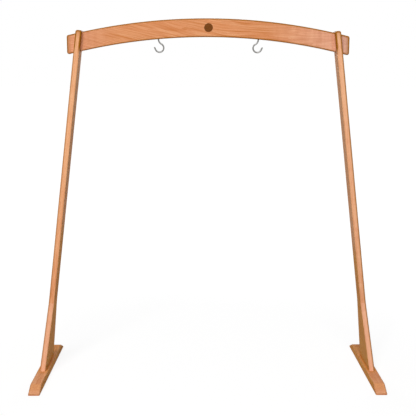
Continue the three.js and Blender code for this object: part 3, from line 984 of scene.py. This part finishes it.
def make_floor_paint(stage):
    """Matt floor paint of a studio. It is seen nearly white with a faint shadow under the feet, and
    it lights the stand by its own colour."""
    material, add = empty_material("Studio floor, matt paint")
    seen = add_seen(add)
    # The shadow fades out between 1 m and 2.5 m from the middle of the stand.
    place = add("TexCoord").outputs["Object"]
    away = add("VectorMath", (place,), operation="LENGTH").outputs["Value"]
    fade = {"Value": away, "From Min": 1.0, "From Max": 2.5, "To Min": stage.floor_white}
    shaded = add("BsdfDiffuse", {"Color": colour("#FFFFFF")})
    white = add("Emission", {"Strength": 1.05})
    bright = add("MixShader", (add("MapRange", fade), shaded, white))
    painted = add("BsdfDiffuse", {"Color": stage.floor})
    add("OutputMaterial", {"Surface": add("MixShader", (seen, painted, bright))})
    return material


# Operators


class GONG_OT_crossbeam(Operator):
    """Make the arched crossbeam, with its notches, hook holes and inlay recess"""

    bl_idname = "gong_stand.crossbeam"
    bl_label = "Crossbeam"

    def execute(self, context):
        stand = context.scene.gong_stand
        beam, place = stand.beam, layout(stand)
        board = piece_from_rings("arched_beam", crossbeam_rings(stand))
        cut(board, crossbeam_cuts(stand))
        mesh = board.data
        x, y, z = rows_of(mesh.vertices, "co").T
        from_centre = np.hypot(x, z - place.centre_height)
        to_end = place.beam_half_length - np.abs(x)
        distances = [
            beam.crown_radius - from_centre,
            from_centre - place.underside_radius,
            to_end,
            beam.thickness / 2 - np.abs(y),
        ]
        # Painted shade darkens a band in from the ends, 1 mm narrower at the left one.
        shade_band_start, shade_band_full = 11 * MM, 5 * MM
        painted_fuller_shade = ramp(to_end + np.where(x > 0, 0, MM), shade_band_start, shade_band_full)
        upper_edge, lower_edge = 1.0, 0.75
        upper_half = z > arch_limits(stand, x)[0] + beam.height / 2
        strength = np.where(upper_half, upper_edge, lower_edge)
        write_arris(mesh, distances, beam.edge_round, painted_shade_reach(stand, x), strength, painted_fuller_shade)
        # Where the board starts to turn pinker towards each end, and where it has turned.
        right_tint, left_tint = (0.25, 0.56), (0.4, 0.56)
        right_end, right_grip = ramp(x, *right_tint), past_fork(x)
        left_end, left_grip = ramp(-x, *left_tint), past_fork(-x)
        write(
            mesh,
            pinker=right_end + 0.5 * left_end + 0.5 * right_grip,
            duller=0.4 * (1 - left_end - right_end) + 0.8 * right_grip,
            paler=0.14 * left_grip + 0.05 * right_grip,
        )
        in_trunk = (4.3, 0.045, 0.085)
        grain = np.stack([x, z - place.inlay_height + slanting_grain(x), y], -1) + in_trunk
        finish_piece(stand, board, "oiled_beech", "crossbeam", "crossbeam", grain, (1, 0, 0))
        return {"FINISHED"}


class GONG_OT_posts(Operator):
    """Make the leaning posts, with their forks, flares and the holes in their feet"""

    bl_idname = "gong_stand.posts"
    bl_label = "Posts"

    def execute(self, context):
        stand = context.scene.gong_stand
        post, place = stand.post, layout(stand)
        # The posts differ in how high painted golden shade reaches up their sides, in how pink they
        # are, and in how dark the painted shade on their outer edges is.
        painted_shade_top, painted_shade_fade = {"left": 0.75, "right": 0.64}, 0.09
        pinkness = {"left": 0.1, "right": 0.35}
        outer_edge, inner_edge = {"left": 0.6, "right": 0.85}, 0.15
        shade_band_start, shade_band_full = 12 * MM, 5 * MM
        # Above the flare the wood is a little redder, up to these heights.
        red_ends, red_full = 0.18, 0.07
        for name, sign in SIDES.items():
            board = piece_from_rings(f"fork_post_{name}", post_rings(stand, sign))
            cut(board, [slot_rings(stand, sign), *joint_cuts(stand, sign)])
            mesh = board.data
            across, depth, along = stand_up(stand, sign, rows_of(mesh.vertices, "co")).T
            to_side, to_tip = post.thickness / 2 - np.abs(across), place.tip - along
            distances = [to_side, post_half_depth(stand, along) - np.abs(depth), to_tip]
            # Painted shade fills the inner faces of the fork's slot and darkens every edge in the
            # fork, and a band in from the tips.
            in_fork = ramp(place.seat - along, stand.beam.notch_depth, 0)
            in_slot = in_fork * ramp(to_side, MM, 0) * ramp(np.abs(depth), 0, post.depth / 2)
            painted_fuller_shade = np.maximum(in_slot, ramp(to_tip, shade_band_start, shade_band_full))
            edge = np.where(across * sign > 0, outer_edge[name], inner_edge)
            edge += (1 - edge) * in_fork
            write_arris(mesh, distances, post.edge_round, 2 * post.edge_round, edge, painted_fuller_shade)
            above = along - place.flare
            redder = 0.2 * ramp(above, red_ends, red_full) * (above > 0) + 0.1 * in_fork
            paler = 0.25 + 0.2 * pinkness[name] + 0.3 * ramp(above, 0, place.tip) - redder
            write(mesh, paler=paler, pinker=pinkness[name])
            (across_way, _, along_way), _ = post_axes(stand, sign)
            past_top = rows_of(mesh.polygons, "center")[:, 2] - painted_shade_top[name]
            painted_shade = 0.2 + 0.8 * ramp(past_top, 0, -painted_shade_fade)
            write(mesh, "FACE", golden=facing(mesh, across_way) * painted_shade)
            in_trunk = (5.0 + 3 * sign, 0.02, 0.06 * sign)
            grain = np.stack([along, depth, across], -1) + in_trunk
            node = f"post_{name}"
            finish_piece(stand, board, "oiled_beech", "end_frames", node, grain, along_way)
        return {"FINISHED"}


class GONG_OT_feet(Operator):
    """Make the long bevelled feet, bored for dowels and screws"""

    bl_idname = "gong_stand.feet"
    bl_label = "Feet"

    def execute(self, context):
        stand = context.scene.gong_stand
        foot = stand.foot
        outer_edge, inner_edge = 0.7, 0.3
        # The top of the right foot is dull from just before its post to the back.
        dullness, dull_from = {"left": 0.0, "right": 0.8}, -0.09
        # Painted golden shade tints the sides, the top from the back to just before the post, and
        # the upper part of the front bevel. A pair of values is where the tint ends and where it is
        # full.
        gold_top, gold_bevel = (0.15, 0.09), (0.8, 0.45)
        for name, sign in SIDES.items():
            board = piece_from_rings(f"bevelled_foot_{name}", foot_rings(stand, sign))
            cut(board, joint_cuts(stand, sign))
            mesh = board.data
            middle = (sign * stand.post.foot_half_spread, 0, 0)
            x, y, z = (rows_of(mesh.vertices, "co") - middle).T
            to_side, to_end = foot.width / 2 - np.abs(x), foot.length / 2 - np.abs(y)
            distances = [to_side, foot_top(foot, y)[0] - z, to_end]
            # Painted shade darkens the rounded upper edges, more on the outer side.
            edge = np.where(x * sign > 0, outer_edge, inner_edge) * (z > foot.toe_height)
            write_arris(mesh, distances, foot.edge_round, foot.edge_round, edge)
            on_side = to_side < MM
            # On the sides the wood turns deeper towards the floor, as painted shade.
            paler = 0.1 + np.where(on_side, 0.3 * z / foot.thickness, -0.2 * (y > 0.2))
            duller = dullness[name] * ~on_side * (y > dull_from)
            write(mesh, paler=paler, pinker=0.2, duller=duller)
            to_front = -rows_of(mesh.polygons, "center")[:, 1]
            down_bevel = (to_front - foot.length / 2) / foot.bevel_length + 1
            bevel = 0.15 + 0.55 * ramp(down_bevel, *gold_bevel) * (down_bevel > 0)
            top = 0.85 * facing(mesh, (0, 0, 1)) * ramp(to_front, *gold_top)
            golden = np.max([facing(mesh, (1, 0, 0)), bevel, top], axis=0)
            write(mesh, "FACE", golden=golden)
            in_trunk = (11.0 + 4 * sign, 0.01, 0.055)
            grain = np.stack([y, x, z], -1) + in_trunk
            node = f"foot_{name}"
            finish_piece(stand, board, "oiled_beech", "end_frames", node, grain, (0, 1, 0))
        return {"FINISHED"}


class GONG_OT_inlay(Operator):
    """Make the plain round inlay in the front of the crossbeam"""

    bl_idname = "gong_stand.inlay"
    bl_label = "Inlay"

    def execute(self, context):
        stand = context.scene.gong_stand
        radius, chamfer = stand.inlay.diameter / 2, stand.inlay.chamfer
        face = [(radius * 0.9, 0), (radius - chamfer, 0), (radius, chamfer)]
        back = [(radius, stand.inlay.depth), (radius * 0.9, stand.inlay.depth)]
        disc = piece_from_rings("round_inlay", inlay_rings(stand, face + back))
        grain = rows_of(disc.data.vertices, "co")[:, [0, 2, 1]]
        finish_piece(stand, disc, "walnut", "crossbeam", "centre_inlay", grain)
        return {"FINISHED"}


class GONG_OT_hooks(Operator):
    """Make the two swan-neck screw hooks"""

    bl_idname = "gong_stand.hooks"
    bl_label = "Hooks"

    def execute(self, context):
        stand = context.scene.gong_stand
        for name, sign in SIDES.items():
            rings, grain = hook_rings(stand, sign)
            wire = piece_from_rings(f"swan_hook_{name}", rings)
            node = f"hook_{name}"
            finish_piece(stand, wire, "zinc_plated_wire", node, node, grain)
        return {"FINISHED"}


def fill_joints(stand, rings, half_spacing, name, node, slot, wooden):
    """Makes one piece in each joint between a foot and a post, from its rings about the axis of its
    hole. Each wooden piece comes from another place in the trunk."""
    for joint, sign, way in JOINTS:
        leaning = lean_over(stand, sign, rings + (0, way * half_spacing, 0))
        piece = piece_from_rings(f"{name}_{joint}", leaning)
        grain, fibres = rings[..., [2, 0, 1]].reshape(-1, 3), None
        if wooden:
            grain, fibres = grain + (sign + way / 3, 0.03, 0), post_axes(stand, sign)[0][2]
        finish_piece(stand, piece, slot, "end_frames", f"{node}_{joint}", grain, fibres)


class GONG_OT_dowels(Operator):
    """Make the fluted dowels between the feet and the posts"""

    bl_idname = "gong_stand.dowels"
    bl_label = "Dowels"

    def execute(self, context):
        stand = context.scene.gong_stand
        rings, half_spacing = dowel_rings(stand.fixing), stand.fixing.dowel_half_spacing
        fill_joints(stand, rings, half_spacing, "fluted_dowel", "dowel", "plain_beech", True)
        return {"FINISHED"}


class GONG_OT_screws(Operator):
    """Make the wood screws that come up through the feet"""

    bl_idname = "gong_stand.screws"
    bl_label = "Screws"

    def execute(self, context):
        stand = context.scene.gong_stand
        rings, half_spacing = screw_rings(stand.fixing), stand.fixing.screw_half_spacing
        fill_joints(stand, rings, half_spacing, "wood_screw", "screw", "screw_steel", False)
        return {"FINISHED"}


class GONG_OT_stage(Operator):
    """Make the floor, the lamps, the surround and the camera"""

    bl_idname = "gong_stand.stage"
    bl_label = "Stage"

    def execute(self, context):
        scene, stage = context.scene, context.scene.gong_stand.stage
        self.make_floor(stage)
        self.make_surround(scene, stage)
        self.make_lamp(scene, "Key lamp", stage.key_power, stage.key_size, stage.key_place)
        self.make_lamp(scene, "Back lamp", stage.back_power, stage.back_size, stage.back_place)
        self.make_camera(scene, stage)
        scene.view_settings.view_transform = "Standard"
        return {"FINISHED"}

    def make_floor(self, stage):
        """A round slab: its profile goes out along the underside and back along the top, where the
        radius shrinks by a constant share."""
        edge, hub, underside, top = 60.0, 0.4, -0.1, -0.2 * MM
        profile = [(hub, underside), (edge, underside)]
        profile += [(radius, top) for radius in np.geomspace(edge, hub, 24)]
        floor = piece_from_rings("studio_floor", turned_rings(profile, LARGE_ROUND_SIDES))
        floor.data.materials.append(make_floor_paint(stage))

    def make_surround(self, scene, stage):
        """An even surround that the camera, metal and glass see as white."""
        world = bpy.data.worlds.new("Surround")
        world.use_nodes = True
        world.node_tree.nodes.clear()
        add = partial(add_node, world.node_tree)
        soft = add("Background", {"Color": grey(1.0), "Strength": stage.surround})
        white = add("Background", {"Color": grey(1.0), "Strength": 1.0})
        add("OutputWorld", {"Surface": add("MixShader", (add_seen(add), soft, white))})
        scene.world = world

    def make_lamp(self, scene, name, power, size, place):
        """A large square lamp that looks at the middle of the stand."""
        lamp = bpy.data.lights.new(name, "AREA")
        lamp.energy, lamp.size = power, size
        holder = bpy.data.objects.new(name, lamp)
        scene.collection.objects.link(holder)
        way = (cad_low + cad_high) / 2 - place
        turned = way.to_track_quat("-Z", "Y").to_matrix().to_4x4()
        holder.matrix_world = Matrix.Translation(place) @ turned

    def make_camera(self, scene, stage):
        """The camera where the photograph was taken. A camera that hangs straight down is raised to
        its pitch, and turned by its yaw about the upright and by its roll about its view."""
        raised = Matrix.Rotation(QUARTER_TURN - stage.camera_pitch, 4, "X")
        yaw, roll = (Matrix.Rotation(a, 4, "Z") for a in (stage.camera_yaw, stage.camera_roll))
        data = bpy.data.cameras.new("Camera")
        data.lens, data.sensor_width, data.clip_end = stage.lens, 36.0, 200.0
        camera = bpy.data.objects.new("Camera", data)
        scene.collection.objects.link(camera)
        camera.matrix_world = Matrix.Translation(stage.camera_place) @ yaw @ raised @ roll
        scene.camera = camera


OPERATORS = (
    GONG_OT_stage,
    GONG_OT_crossbeam,
    GONG_OT_posts,
    GONG_OT_feet,
    GONG_OT_inlay,
    GONG_OT_hooks,
    GONG_OT_dowels,
    GONG_OT_screws,
)


def settings_of(group):
    """The names of a group's own settings."""
    names = [setting.identifier for setting in group.bl_rna.properties]
    return [name for name in names if name not in ("rna_type", "name")]


class GONG_PT_panel(Panel):
    """Lists the pieces of the gong stand, and the sizes and colours they are made from"""

    bl_idname = "GONG_PT_panel"
    bl_label = "Gong stand"
    bl_space_type = "VIEW_3D"
    bl_region_type = "UI"
    bl_category = "Gong stand"

    def draw(self, context):
        stand = context.scene.gong_stand
        for operator in OPERATORS:
            self.layout.operator(operator.bl_idname)
        for group_name in settings_of(stand):
            box = self.layout.box()
            box.label(text=group_name.capitalize())
            group = getattr(stand, group_name)
            for name in settings_of(group):
                box.prop(group, name)


CLASSES = (
    BeamSizes,
    PostSizes,
    FootSizes,
    FixingSizes,
    HookSizes,
    InlaySizes,
    WoodLook,
    MetalLook,
    StageLook,
    GongStand,
    *OPERATORS,
    GONG_PT_panel,
)


def register():
    for item in CLASSES:
        bpy.utils.register_class(item)
    bpy.types.Scene.gong_stand = PointerProperty(type=GongStand)


def unregister():
    del bpy.types.Scene.gong_stand
    for item in reversed(CLASSES):
        bpy.utils.unregister_class(item)


def main():
    """Makes every piece in order."""
    register()
    for operator in OPERATORS:
        group, name = operator.bl_idname.split(".")
        getattr(getattr(bpy.ops, group), name)()


if __name__ == "__main__":
    main()
